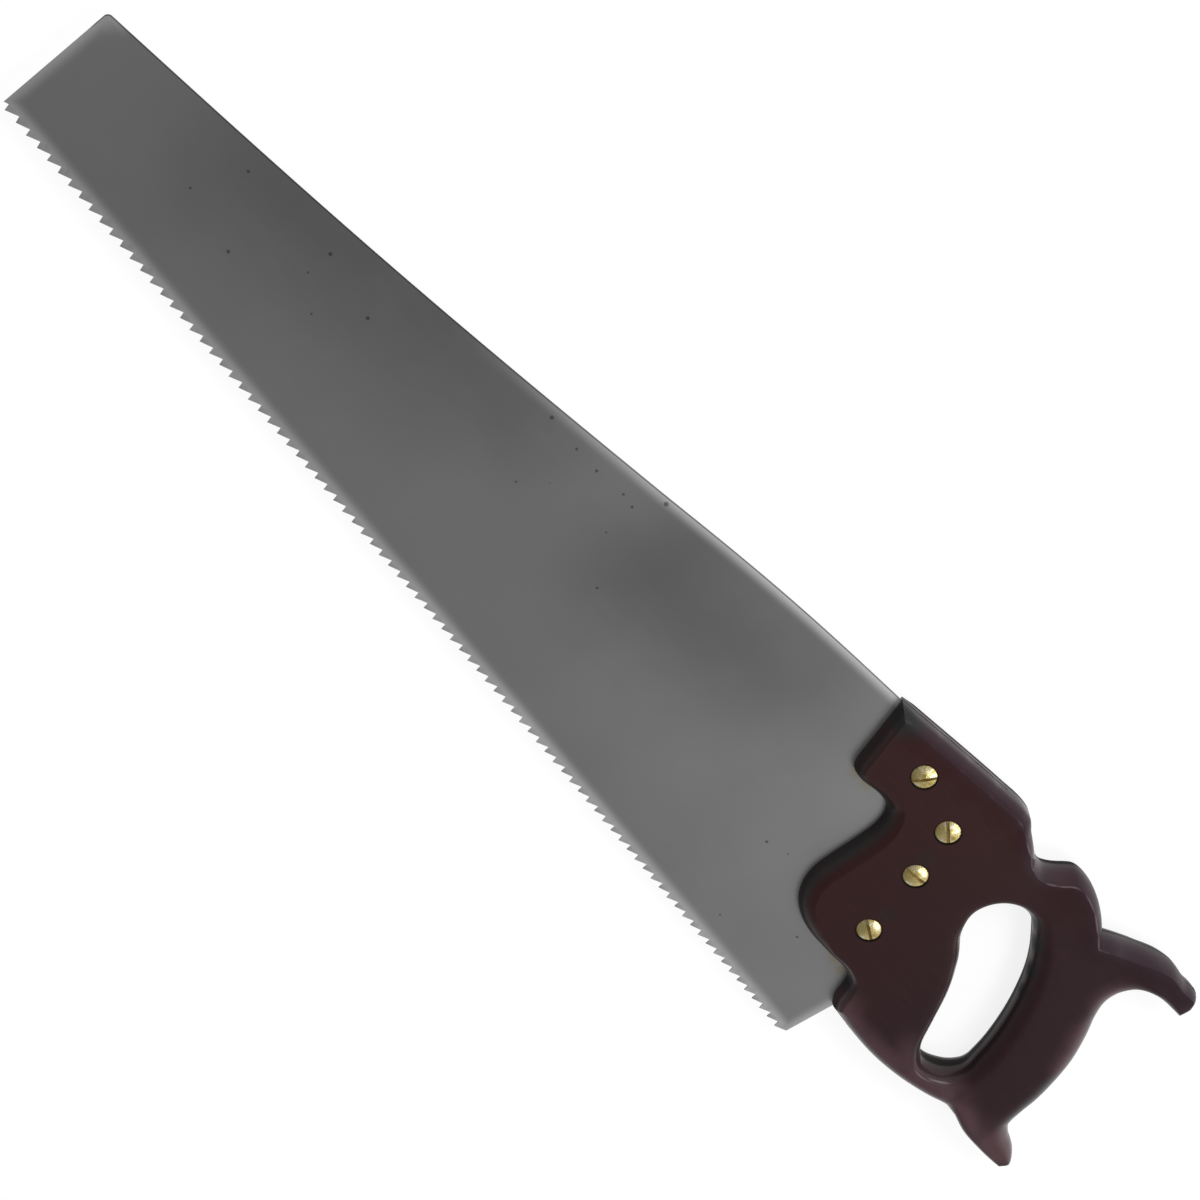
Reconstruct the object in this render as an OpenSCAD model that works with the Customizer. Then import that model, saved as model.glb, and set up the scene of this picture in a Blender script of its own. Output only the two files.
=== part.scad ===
// Hand saw with a carved, closed wooden handle held by four brass bolts and slotted nuts.
// It lies flat with the nuts up: X runs along the tooth line from the toe to the handle,
// Y from the teeth to the back and Z through the thickness.
// The origin is under the middle of the whole saw, on the handle's underside.

/* [Blade] */
// Length of the tooth line from toe to heel, 22 inches
blade_l = 559; // [480:1:640]
// Width of the blade at the toe
toe_w = 62.5; // [50:0.5:80]
// Width of the blade where it enters the handle
heel_w = 151; // [140:0.5:160]
// Thickness of the blade
blade_t = 0.9; // [0.7:0.05:1.2]
// Set-back of the toe edge at the back corner
toe_lean = 2.5; // [0:0.5:8]
// Corner radius between the toe edge and the back
toe_r = 2.5; // [1:0.5:6]
// Hollow of the back towards the toe, below a straight line
back_dip = 2.8; // [0:0.1:5]
// Swell of the back towards the handle, above a straight line
back_swell = 1.8; // [0:0.1:3]

/* [Teeth] */
// Distance between tooth tips, four to the inch
tooth_pitch = 6.4; // [5:0.1:8]
// Depth of the gullets
tooth_h = 3.1; // [2:0.1:3.6]
// Lean of the cutting face from square, in degrees
tooth_rake = 12; // [0:1:20]
// Sideways bend of the tooth tips, every other one to each side
tooth_set = 0.25; // [0:0.05:0.4]
// Part of the tooth's depth that is bent
set_h = 1.6; // [0.8:0.1:1.9]
// Distance from the toe edge to the first gullet
first_gullet = 2.1; // [1:0.1:3.5]

/* [Handle] */
// Thickness of the handle
handle_t = 22; // [19:0.5:26]
// How far the handle reaches over the blade from the heel
handle_reach = 119; // [112:1:126]
// Height of the handle's top edge over the blade's back
wood_over_back = 1; // [0.5:0.25:3]

/* [Handle edges] */
// Width of the rounding on the straight top edge
top_round = 4.5; // [2:0.5:6]
// Width of the rounding on the nose and the two steps of the cheeks
nose_round = 4.5; // [2:0.5:5]
// Width of the rounding on the curved front edge of the cheeks
front_round = 8; // [4:0.5:9]
// Width of the rounding under the handle
under_round = 7.5; // [4:0.5:8.5]
// Width of the rounding on the front of the hand hole
hole_round = 4.5; // [3:0.5:5.5]
// Width of the rounding of the grip, front and back
grip_round = 10; // [7:0.5:11]
// Width of the rounding on the crest
crest_round = 3.5; // [2:0.5:4]
// Width of the rounding on the horns and in the two dips
horn_round = 2.5; // [1.5:0.5:3]
// How far crest, dips and horns curve over before their crisp edge, in degrees
crisp_turn = 55; // [45:5:80]
// How far the nose curves over, in degrees
nose_turn = 65; // [45:5:80]
// How far the front of the cheeks curves over, in degrees
front_turn = 75; // [60:5:85]

/* [Blade seat] */
// Room beside the blade in the saw cut, each side
kerf_gap = 0.05; // [0.02:0.01:0.2]
// Room between the blade's hidden end and the end of the saw cut
kerf_end_gap = 0.4; // [0.2:0.1:1]

/* [Bolts and nuts] */
// Diameter of the nut and bolt heads
head_d = 11.9; // [10:0.1:13]
// Thickness of the nuts' rims and of the whole bolt heads
head_t = 1.8; // [1.4:0.1:3]
// Height of the dome on each nut
dome_h = 0.7; // [0.3:0.1:1.2]
// Height of the dome on each bolt head, out of the head's thickness
bolt_dome_h = 0.4; // [0.2:0.1:1]
// Depth of the nut's rim below the wood
rim_sink = 0.2; // [0:0.05:0.5]
// Depth of the bolt head below the wood
bolt_sink = 0.1; // [0.05:0.05:0.5]
// Width of the screwdriver slot
slot_w = 1.3; // [0.8:0.1:1.8]
// Depth of the screwdriver slot below the crown
slot_h = 1.3; // [0.8:0.1:1.8]
// Diameter of the nut's sleeve
sleeve_d = 7.2; // [6.6:0.1:8]
// Length of the nut's sleeve under its head
sleeve_l = 6.5; // [5:0.5:7.5]
// Diameter of the bolt's shank
shank_d = 4.8; // [4:0.1:5.2]
// Width of the square neck under the bolt head
neck_w = 6.2; // [5.4:0.1:7]
// Length of the square neck
neck_l = 4; // [3:0.5:5]
// Room round the heads, sleeves, necks and shanks
bolt_gap = 0.15; // [0.05:0.05:0.3]
// Room between the shank and the nut's bore
thread_gap = 0.05; // [0.02:0.01:0.1]

/* [Hidden] */
$fn = 64;
// A small overlap for clean cuts and joins
eps = 0.5;

// Where the handle's own points start: its top front corner
handle_at = [blade_l - handle_reach, heel_w + wood_over_back];
// Share of the back's length where its hollow turns into the swell
back_turn = 0.68;
// Pieces along the back between the toe and the handle
back_steps = 24;
// The blade's hidden end, from the handle's corner: how high its heel edge reaches,
// its upper corner, and where it meets the back
heel_edge_y = -102;
butt_corner = [93, -10];
butt_top_x = 65;
// Bolt centres from the handle's corner, and the angle at which each nut's slot stopped
bolt_at = [[33.5, -12], [63.5, -19], [74.5, -44], [87, -78.5]];
slot_angle = [62, -32, 14, -22];

// Length of the pieces that the handle's curves are made of
curve_step = 5;
// Rings that make each rounding, and the least flat band left at the blade's level
round_rings = 5;
flat_band = 1.2;
// How much deeper than wide a soft rounding is
round_rise = 2;
// Furthest that a rounding reaches in at a corner, as a multiple of its width
corner_reach = 1.67;
// Length beside a corner that its rounding keeps free of points, as a multiple of its width
corner_clear = 1.25;
// Ears under this area are too thin to cut off when an outline is filled
thin_ear = 0.0005;

// Edges of the handle, each as the width and depth of its rounding and the angle that it curves through
full_depth = (handle_t - flat_band) / 2;
function soft_edge(width) = [width, min(full_depth, width + round_rise), 90];
top_edge = soft_edge(top_round);
under_edge = soft_edge(under_round);
hole_edge = soft_edge(hole_round);
grip_edge = [grip_round, full_depth, 90];
horn_edge = soft_edge(horn_round);
nose_edge = [nose_round, full_depth, nose_turn];
front_edge = [front_round, full_depth, front_turn];
crest_edge = [crest_round, full_depth, crisp_turn];
tip_edge = [horn_round, full_depth, crisp_turn];

// The handle's outline at the blade's level, anticlockwise from its top front corner.
// Each point is [x, y, edge, 1 at a corner].
outline_points = [
    // Nose and cheek
    [0, -0.5, nose_edge, 1], [12.4, -33.5, nose_edge, 0], [15.2, -37.3, nose_edge, 0],
    [19.5, -38, nose_edge, 0], [29, -35.8, nose_edge, 0], [35, -35.1, nose_edge, 0],
    [40, -36.4, front_edge, 0], [43.4, -40.2, front_edge, 0], [45.6, -46, front_edge, 0],
    [47, -57, front_edge, 0], [47.8, -72, front_edge, 0], [49.2, -84, front_edge, 0],
    [52.5, -92, front_edge, 0], [58.5, -99, front_edge, 0], [67, -103.4, front_edge, 0],
    [76, -104.9, front_edge, 0], [89, -103.9, nose_edge, 0], [103, -103, nose_edge, 0],
    [107.5, -104.6, nose_edge, 0], [110, -108.4, nose_edge, 0], [114.5, -117.5, nose_edge, 0],
    [117, -120, nose_edge, 1],
    // Lower edge and lower horn
    [130, -120.5, under_edge, 0], [150, -120, under_edge, 0], [170.5, -116, under_edge, 0],
    [185, -111, under_edge, 0], [195, -106.5, under_edge, 0], [201, -105, horn_edge, 1],
    [211, -107, horn_edge, 0], [223, -107, horn_edge, 0], [235, -106, horn_edge, 0],
    [240.5, -105, horn_edge, 1], [242.5, -99.5, horn_edge, 0], [239, -95, hole_edge, 0],
    // Back of the grip
    [230, -91.5, under_edge, 0], [224, -87.5, grip_edge, 0], [220.5, -79, grip_edge, 0],
    [217.5, -67, grip_edge, 0], [212.5, -53, grip_edge, 0], [207, -41, grip_edge, 0],
    [197.5, -26.5, grip_edge, 0], [189.5, -16, grip_edge, 0], [186, -9, grip_edge, 0],
    [185.5, -2, grip_edge, 0], [188, 4.5, grip_edge, 0], [193, 10, hole_edge, 0],
    // Upper horn
    [201.5, 12.5, hole_edge, 0], [210, 14.5, horn_edge, 1], [210, 21, horn_edge, 0],
    [207.5, 26.5, tip_edge, 0], [198, 26, tip_edge, 0], [188, 26, tip_edge, 0],
    [179.5, 23, tip_edge, 0], [171, 18.5, crest_edge, 0], [163, 13.5, crest_edge, 0],
    [155, 7, tip_edge, 1],
    // Crest and dip ahead of the grip
    [147, 12, crest_edge, 0], [136, 16.5, crest_edge, 0], [125, 18, crest_edge, 0],
    [117.5, 16.5, nose_edge, 0], [113, 11, nose_edge, 0], [107, 5, crest_edge, 0],
    [101.5, 4.5, tip_edge, 1], [96.5, 7, tip_edge, 0], [88, 11, crest_edge, 0],
    // Top edge
    [81, 14.5, top_edge, 0], [74, 14.5, top_edge, 0], [64, 12.7, top_edge, 0]
];

// The hand hole at the blade's level, clockwise from its top
hole_points = [
    [127, -14, under_edge, 0], [137.5, -20, grip_edge, 0], [149, -29.5, grip_edge, 0],
    [161, -44, grip_edge, 0], [171, -60, grip_edge, 0], [179, -77.5, grip_edge, 0],
    [182, -88, under_edge, 0], [177, -97.5, hole_edge, 0], [167, -101.5, hole_edge, 0],
    [161, -98, hole_edge, 0], [150, -83.5, hole_edge, 0], [140, -68.5, hole_edge, 0],
    [126.5, -53.5, hole_edge, 0], [114.5, -43.5, hole_edge, 0], [109, -33, hole_edge, 0],
    [111, -21.5, hole_edge, 0], [118, -14.5, hole_edge, 0]
];

function xy(p) = [p[0], p[1]];
function unit(v) = v / norm(v);
function left(v) = [-v.y, v.x];

// Tangent of a curve through three points, weighted by the distance to each side
function tangent(a, b, c) =
    let (d0 = norm(b - a), d1 = norm(c - b))
    ((b - a) / d0 * d1 + (c - b) / d1 * d0) / (d0 + d1);

// One piece of a curve between p and q, with given end tangents
function hermite(p, m, q, n, t) =
    let (t2 = t * t, t3 = t2 * t)
    (2 * t3 - 3 * t2 + 1) * p + (t3 - 2 * t2 + t) * m + (3 * t2 - 2 * t3) * q + (t3 - t2) * n;

// Closed smooth curve through marked points, as [x, y, edge]
function clear(p) = p[3] * corner_clear * p[2][0];
function smooth_loop(pts) = [
    for (i = [0 : len(pts) - 1])
        let (
            n = len(pts),
            a = xy(pts[(i + n - 1) % n]), b = xy(pts[i]),
            c = xy(pts[(i + 1) % n]), d = xy(pts[(i + 2) % n]),
            len_bc = norm(c - b),
            m = (pts[i][3] == 1 ? unit(c - b) : tangent(a, b, c)) * len_bc,
            k = (pts[(i + 1) % n][3] == 1 ? unit(c - b) : tangent(b, c, d)) * len_bc,
            steps = max(1, ceil(len_bc / curve_step))
        )
        for (j = [0 : steps - 1])
            let (
                t = j / steps, p = hermite(b, m, c, k, t),
                edge = pts[i][2] * (1 - t) + pts[(i + 1) % n][2] * t
            )
            if (j == 0 || (t * len_bc >= clear(pts[i]) && (1 - t) * len_bc >= clear(pts[(i + 1) % n])))
                [p.x, p.y, edge]
];

// Direction from a loop's point into the wood, lengthened at corners
function into_wood(loop, i) =
    let (
        n = len(loop),
        u = unit(xy(loop[i]) - xy(loop[(i + n - 1) % n])),
        v = unit(xy(loop[(i + 1) % n]) - xy(loop[i])),
        w = unit(left(u) + left(v))
    )
    w * min(corner_reach, 1 / (w * left(u)));

// One ring of a loop's points: ring 0 is the lower face, the last ring the upper face
ring_count = 2 * (round_rings + 1);
function ring(loop, k) =
    let (
        side = k <= round_rings ? -1 : 1,
        step = (k <= round_rings ? round_rings - k : k - round_rings - 1) / round_rings
    )
    [
        for (i = [0 : len(loop) - 1])
            let (
                width = loop[i][2][0], depth = loop[i][2][1], turn = loop[i][2][2],
                p = xy(loop[i]) + into_wood(loop, i) * width * (1 - cos(turn * step)) / (1 - cos(turn))
            )
            [p.x, p.y, side * (handle_t / 2 - depth + depth * sin(turn * step) / sin(turn))]
    ];

// Wall triangles between a loop's rings, whose points start at a given place in the list
function wall_faces(count, start) = [
    for (k = [0 : ring_count - 2], i = [0 : count - 1])
        let (
            low = start + k * count, high = low + count, j = (i + 1) % count
        )
        each [[high + i, high + j, low + j], [high + i, low + j, low + i]]
];

// Triangles that fill a flat outline, by cutting off one ear after another
function area(a, b, c) = ((b.x - a.x) * (c.y - a.y) - (b.y - a.y) * (c.x - a.x)) / 2;
function covers(a, b, c, p) = area(a, b, p) >= 0 && area(b, c, p) >= 0 && area(c, a, p) >= 0;
function is_ear(pts, idx, i) =
    let (
        n = len(idx), a = pts[idx[(i + n - 1) % n]], b = pts[idx[i]], c = pts[idx[(i + 1) % n]]
    )
    area(a, b, c) > thin_ear
    && len([for (k = idx) if (pts[k] != a && pts[k] != b && pts[k] != c && covers(a, b, c, pts[k])) k]) == 0;
function first_ear(pts, idx, i) = i >= len(idx) || is_ear(pts, idx, i) ? i : first_ear(pts, idx, i + 1);
function fill(pts, idx, done = []) =
    len(idx) == 3 ? concat(done, [idx]) :
    let (n = len(idx), e = first_ear(pts, idx, 0) % n)
    fill(
        pts, [for (i = [0 : n - 1]) if (i != e) idx[i]],
        concat(done, [[idx[(e + n - 1) % n], idx[e], idx[(e + 1) % n]]])
    );

outline = smooth_loop(outline_points);
hole = smooth_loop(hole_points);

// The middle of the saw's outline, which becomes the origin
saw_middle = [
    (handle_at.x + max([for (p = outline) p.x])) / 2,
    (handle_at.y + max([for (p = outline) p.y])) / 2
];
module placed() translate([-saw_middle.x, -saw_middle.y, handle_t / 2]) children();

// Carved wood without its saw cut and bolt holes
module handle_body() {
    n = len(outline);
    m = len(hole);
    outer_rings = [for (k = [0 : ring_count - 1]) each ring(outline, k)];
    hole_rings = [for (k = [0 : ring_count - 1]) each ring(hole, k)];
    face = [for (p = concat(ring(outline, 0), ring(hole, 0))) xy(p)];
    // A cut across the grip's front joins the hole to the outline for filling
    reach = [for (i = [0 : n - 1], j = [0 : m - 1]) [norm(face[i] - face[n + j]), i, j]];
    nearest = reach[search(min([for (r = reach) r[0]]), reach, 1, 0)[0]];
    path = [
        for (i = [0 : n]) (nearest[1] + i) % n,
        for (j = [0 : m]) n + (nearest[2] + j) % m
    ];
    tris = fill(face, path);
    // Places of a face's points in the full list, on the lower and upper side
    low = [for (i = [0 : n - 1]) i, for (j = [0 : m - 1]) ring_count * n + j];
    high = [
        for (i = [0 : n - 1]) (ring_count - 1) * n + i,
        for (j = [0 : m - 1]) ring_count * n + (ring_count - 1) * m + j
    ];
    polyhedron(
        points = concat(outer_rings, hole_rings),
        faces = concat(
            wall_faces(n, 0), wall_faces(m, ring_count * n),
            [for (t = tris) [low[t[0]], low[t[1]], low[t[2]]]],
            [for (t = tris) [high[t[2]], high[t[1]], high[t[0]]]]
        ),
        convexity = 8
    );
}

// Height of the blade's back at a distance from the toe
function back_y(x) =
    let (
        s = (x - toe_lean) / (handle_at.x - toe_lean),
        bend = s < back_turn ? -back_dip * sin(180 * s / back_turn)
            : back_swell * sin(180 * (s - back_turn) / (1 - back_turn))
    )
    toe_w + (heel_w - toe_w) * s + (s > 1 ? 0 : bend);

// The blade's hidden end inside the handle, from the heel edge up to the back
butt_top = handle_at.x + butt_top_x;
butt = [
    [blade_l, handle_at.y + heel_edge_y],
    handle_at + butt_corner,
    [butt_top, back_y(butt_top)]
];

// Corner between the toe edge and the back, rounded
toe_centre = [toe_lean + toe_r, back_y(toe_lean + toe_r) - toe_r];
toe_corner = [for (a = [100 : 20 : 180]) toe_centre + toe_r * [cos(a), sin(a)]];

// Everything that depends on the shape of one tooth
face_run = tooth_h * tan(tooth_rake);
back_run = tooth_pitch - face_run;
tooth_count = floor((blade_l - first_gullet) / tooth_pitch);
root_y = tooth_h + 2 * eps;
bent = 1 - set_h / tooth_h;

// One side of the row of teeth, at a level z, from the toe to the last gullet
function tooth_side(z) = [
    [0, root_y, z], [0, tooth_h * (1 - first_gullet / back_run), z],
    for (k = [0 : tooth_count - 1])
        let (x = first_gullet + k * tooth_pitch, bend = (k % 2 == 0 ? 1 : -1) * tooth_set)
        each [
            [x, root_y, z], [x, tooth_h, z],
            [x + face_run * bent, set_h, z],
            [x + face_run, 0, z + bend],
            [x + tooth_pitch - back_run * bent, set_h, z]
        ],
    [first_gullet + tooth_count * tooth_pitch, root_y, z],
    [first_gullet + tooth_count * tooth_pitch, tooth_h, z]
];

// The row of teeth as one solid, with a strip of the blade above it
module teeth() {
    upper = tooth_side(blade_t / 2);
    lower = tooth_side(-blade_t / 2);
    n = len(upper);
    // Each tooth has five points: root, gullet, bend, tip and bend
    side = [
        [0, 1, 3], [0, 3, 2],
        for (k = [0 : tooth_count - 1])
            let (r = 2 + 5 * k, g = r + 1, b = r + 2, tip = r + 3, c = r + 4)
            each [
                [r, g, b], [r, b, c], [r, c, r + 6], [r, r + 6, r + 5], [b, tip, c]
            ]
    ];
    edge = [
        0, 1,
        for (k = [0 : tooth_count - 1]) each [for (j = [1 : 4]) 2 + 5 * k + j],
        n - 1, n - 2,
        for (k = [tooth_count - 1 : -1 : 0]) 2 + 5 * k
    ];
    m = len(edge);
    polyhedron(
        points = concat(upper, lower),
        faces = concat(
            [for (t = side) [t[2], t[1], t[0]]],
            [for (t = side) [t[0] + n, t[1] + n, t[2] + n]],
            [
                for (i = [0 : m - 1])
                    let (a = edge[i], b = edge[(i + 1) % m])
                    each [[a, b, b + n], [a, b + n, a + n]]
            ]
        ),
        convexity = 8
    );
}

// Places children at each bolt
module at_bolt(i) translate(concat(handle_at + bolt_at[i], 0)) children();

module saw_plate() {
    color("gray") placed() difference() {
        union() {
            translate([0, 0, -blade_t / 2]) linear_extrude(blade_t) polygon(concat(
                [[0, tooth_h], [blade_l, tooth_h]],
                butt,
                [
                    for (i = [back_steps : -1 : 1])
                        let (x = toe_lean + (handle_at.x - toe_lean) * i / back_steps)
                        [x, back_y(x)]
                ],
                toe_corner
            ));
            teeth();
        }
        for (i = [0 : len(bolt_at) - 1])
            at_bolt(i) cylinder(h = 2 * handle_t, d = shank_d + 2 * bolt_gap, center = true);
    }
}

// Levels above the blade's middle: underside of the nut's head and top of the bolt's head
nut_seat = handle_t / 2 - rim_sink - head_t;
bolt_seat = -handle_t / 2 + bolt_sink + head_t;

// Round head with a shallow dome, standing on the level z = 0
module domed_head(rim_t, crown) {
    ball_r = (head_d * head_d / 4 + crown * crown) / (2 * crown);
    cylinder(h = rim_t, d = head_d);
    translate([0, 0, rim_t]) intersection() {
        cylinder(h = crown, d = head_d);
        translate([0, 0, crown - ball_r]) sphere(r = ball_r);
    }
}

module saw_nut(i) {
    color("goldenrod") placed() at_bolt(i) difference() {
        union() {
            translate([0, 0, nut_seat]) domed_head(head_t, dome_h);
            translate([0, 0, nut_seat - sleeve_l]) cylinder(h = sleeve_l + eps, d = sleeve_d);
        }
        // Blind bore for the shank
        translate([0, 0, nut_seat - sleeve_l - eps])
            cylinder(h = sleeve_l + eps, d = shank_d + 2 * thread_gap);
        // Screwdriver slot
        translate([0, 0, nut_seat + head_t + dome_h - slot_h]) rotate([0, 0, slot_angle[i]])
            translate([-head_d, -slot_w / 2, 0]) cube([2 * head_d, slot_w, 2 * slot_h]);
    }
}

module saw_bolt(i) {
    // The head faces down and stays below the wood, so the saw lies flat
    color("darkgoldenrod") placed() at_bolt(i) union() {
        translate([0, 0, bolt_seat]) mirror([0, 0, 1]) domed_head(head_t - bolt_dome_h, bolt_dome_h);
        translate([-neck_w / 2, -neck_w / 2, bolt_seat - eps]) cube([neck_w, neck_w, neck_l + eps]);
        translate([0, 0, bolt_seat]) cylinder(h = nut_seat - eps - bolt_seat, d = shank_d);
    }
}

// Stepped hole for one bolt and its nut
module bolt_hole() {
    head_hole = head_d + 2 * bolt_gap;
    neck_hole = neck_w + 2 * bolt_gap;
    cylinder(h = 2 * handle_t, d = shank_d + 2 * bolt_gap, center = true);
    translate([0, 0, nut_seat]) cylinder(h = handle_t, d = head_hole);
    translate([0, 0, nut_seat - sleeve_l - bolt_gap]) cylinder(h = handle_t, d = sleeve_d + 2 * bolt_gap);
    translate([0, 0, bolt_seat - handle_t]) cylinder(h = handle_t, d = head_hole);
    translate([-neck_hole / 2, -neck_hole / 2, bolt_seat - handle_t])
        cube([neck_hole, neck_hole, handle_t + neck_l + bolt_gap]);
}

// Saw cut that the blade sits in, open at the front, the top and the heel
module saw_cut() {
    t = blade_t + 2 * kerf_gap;
    far = 2 * handle_reach;
    end = [for (p = butt) p + [kerf_end_gap, kerf_end_gap]];
    translate([0, 0, -t / 2]) linear_extrude(t) polygon(concat(
        [[blade_l - far, -far], [end[0].x, -far]],
        end,
        [[end[2].x, far], [blade_l - far, far]]
    ));
}

module handle() {
    color("#4a2a26") placed() difference() {
        translate(concat(handle_at, 0)) handle_body();
        saw_cut();
        for (i = [0 : len(bolt_at) - 1]) at_bolt(i) bolt_hole();
    }
}

saw_plate();
handle();
saw_nut(0);  // saw_nut_1
saw_nut(1);  // saw_nut_2
saw_nut(2);  // saw_nut_3
saw_nut(3);  // saw_nut_4
saw_bolt(0);  // saw_bolt_1
saw_bolt(1);  // saw_bolt_2
saw_bolt(2);  // saw_bolt_3
saw_bolt(3);  // saw_bolt_4
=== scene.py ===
import math

import bpy
import numpy as np
from mathutils import Matrix, Vector
from mathutils.geometry import delaunay_2d_cdt


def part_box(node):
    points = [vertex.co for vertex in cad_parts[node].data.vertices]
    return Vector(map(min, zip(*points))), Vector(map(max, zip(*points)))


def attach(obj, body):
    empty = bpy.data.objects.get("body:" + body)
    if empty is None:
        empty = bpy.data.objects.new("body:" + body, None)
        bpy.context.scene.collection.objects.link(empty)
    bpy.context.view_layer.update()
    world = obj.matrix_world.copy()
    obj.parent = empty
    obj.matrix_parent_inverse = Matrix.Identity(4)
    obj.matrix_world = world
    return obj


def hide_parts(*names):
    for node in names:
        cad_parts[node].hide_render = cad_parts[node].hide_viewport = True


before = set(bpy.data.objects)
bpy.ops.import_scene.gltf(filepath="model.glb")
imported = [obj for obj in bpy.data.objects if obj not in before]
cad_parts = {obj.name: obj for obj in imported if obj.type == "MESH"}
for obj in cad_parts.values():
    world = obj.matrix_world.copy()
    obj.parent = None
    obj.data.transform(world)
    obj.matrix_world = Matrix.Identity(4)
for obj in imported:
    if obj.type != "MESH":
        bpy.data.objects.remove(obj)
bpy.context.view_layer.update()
mm = 0.001  # every size below is in millimetres
print("frame loaded, nodes:", len(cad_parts))

# Where the pieces sit: the tooth line starts at the toe, halfway through the blade
plateLow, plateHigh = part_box("saw_plate")
toeStart = np.array([plateLow.x, plateLow.y]) / mm
midLevel = (plateLow.z + plateHigh.z) / 2 / mm
handleAt = np.array([440, 152])  # top front corner of the handle, from the toe's start
handleStart = toeStart + handleAt


# small helpers for meshes

def unit(v):
    return v / np.linalg.norm(v, axis=-1, keepdims=True)


def leftOf(v):
    return np.column_stack([-v[:, 1], v[:, 0]])


def smoothStep(t):
    t = np.clip(t, 0, 1)
    return t * t * (3 - 2 * t)


# Distance from each point to an open line of points
def distanceTo(points, line):
    best = np.full(len(points), 1e9)
    for a, b in zip(line[:-1], line[1:]):
        along = np.clip(((points - a) @ (b - a)) / ((b - a) @ (b - a)), 0, 1)
        best = np.minimum(best, np.linalg.norm(points - a - along[:, None] * (b - a), axis=1))
    return best


# Each point keeps its distance to the nearest of some lines, for the materials
def markDistance(piece, label, lines, far):
    places = np.zeros(len(piece.data.vertices) * 3)
    piece.data.vertices.foreach_get("co", places)
    flat = places.reshape(-1, 3)[:, :2] / mm
    away = np.min([distanceTo(flat, line) for line in lines], axis=0)
    made = piece.data.attributes.new(label, "FLOAT", "POINT")
    made.data.foreach_set("value", np.minimum(away, far))


def isInside(points, loop):
    a, b = loop, np.roll(loop, -1, 0)
    inside = np.zeros(len(points), bool)
    for (ax, ay), (bx, by) in zip(a, b):
        if ay != by:
            cross = (points[:, 1] < ay) != (points[:, 1] < by)
            inside ^= cross & (points[:, 0] < ax + (points[:, 1] - ay) / (by - ay) * (bx - ax))
    return inside


# Offset directions of a closed loop, to its left, longer at corners but no more than reach
def inwardOf(loop, reach):
    back = unit(loop - np.roll(loop, 1, 0))
    ahead = unit(np.roll(loop, -1, 0) - loop)
    middle = unit(leftOf(back) + leftOf(ahead))
    return middle * np.minimum(reach, 1 / (middle * leftOf(back)).sum(1))[:, None]


# Triangles between an outer loop and its holes, with free points and crease lines inside
def fillLoops(loops, free, creases=()):
    points = np.concatenate([*loops, free])
    edges, start = list(creases), 0
    for loop in loops:
        edges += [(start + i, start + (i + 1) % len(loop)) for i in range(len(loop))]
        start += len(loop)
    verts, _, faces, origin, _, _ = delaunay_2d_cdt([Vector(p) for p in points], edges, [], 0, 1e-7)
    source = [o[0] for o in origin]
    flat = np.array(verts)
    tris = [list(f) for f in faces]
    centres = np.array([flat[t].mean(0) for t in tris])
    keep = isInside(centres, loops[0])
    for hole in loops[1:]:
        keep &= ~isInside(centres, hole)
    made = []
    for t, kept in zip(tris, keep):
        if kept:
            a, b, c = flat[t]
            turn = (b[0] - a[0]) * (c[1] - a[1]) - (b[1] - a[1]) * (c[0] - a[0])
            t = [source[i] for i in t]
            made.append(t if turn > 0 else t[::-1])
    return made


# Quads between two loops that start at given places in the list of points
def bridge(low, high, count):
    return [[low + i, low + (i + 1) % count, high + (i + 1) % count, high + i] for i in range(count)]


def meshPiece(name, points, faces):
    mesh = bpy.data.meshes.new(name)
    mesh.from_pydata([tuple(p) for p in np.asarray(points, float) * mm], [], faces)
    mesh.validate()
    piece = bpy.data.objects.new(name, mesh)
    bpy.context.scene.collection.objects.link(piece)
    return piece


# Edges sharper than the angle are creased, and those marked before stay so
def shadeSmooth(piece, angle):
    mesh = piece.data
    marked = mesh.attributes.get("sharp_edge")
    kept = np.zeros(len(mesh.edges), bool)
    if marked:
        marked.data.foreach_get("value", kept)
    mesh.shade_smooth()
    mesh.set_sharp_from_angle(angle=math.radians(angle))
    made = mesh.attributes.get("sharp_edge") or mesh.attributes.new("sharp_edge", "BOOLEAN", "EDGE")
    sharp = np.zeros(len(mesh.edges), bool)
    made.data.foreach_get("value", sharp)
    made.data.foreach_set("value", sharp | kept)


def cutWith(piece, cutters):
    for cutter in cutters:
        change = piece.modifiers.new("cut", "BOOLEAN")
        change.operation, change.solver, change.object = "DIFFERENCE", "EXACT", cutter
    bpy.context.view_layer.update()
    graph = bpy.context.evaluated_depsgraph_get()
    made = bpy.data.meshes.new_from_object(piece.evaluated_get(graph))
    piece.modifiers.clear()
    piece.data = made
    for cutter in cutters:
        bpy.data.objects.remove(cutter)


def circle(centre, radius, count):
    turn = np.arange(count) * 2 * math.pi / count
    return centre + radius * np.column_stack([np.cos(turn), np.sin(turn)])


# A square with as many points as a circle, so that the two join
def squareLoop(centre, wide, count):
    ring = circle((0, 0), 1, count)
    return centre + ring * (wide / 2 / np.abs(ring).max(1))[:, None]


# the brass nuts and bolts: sizes

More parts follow.
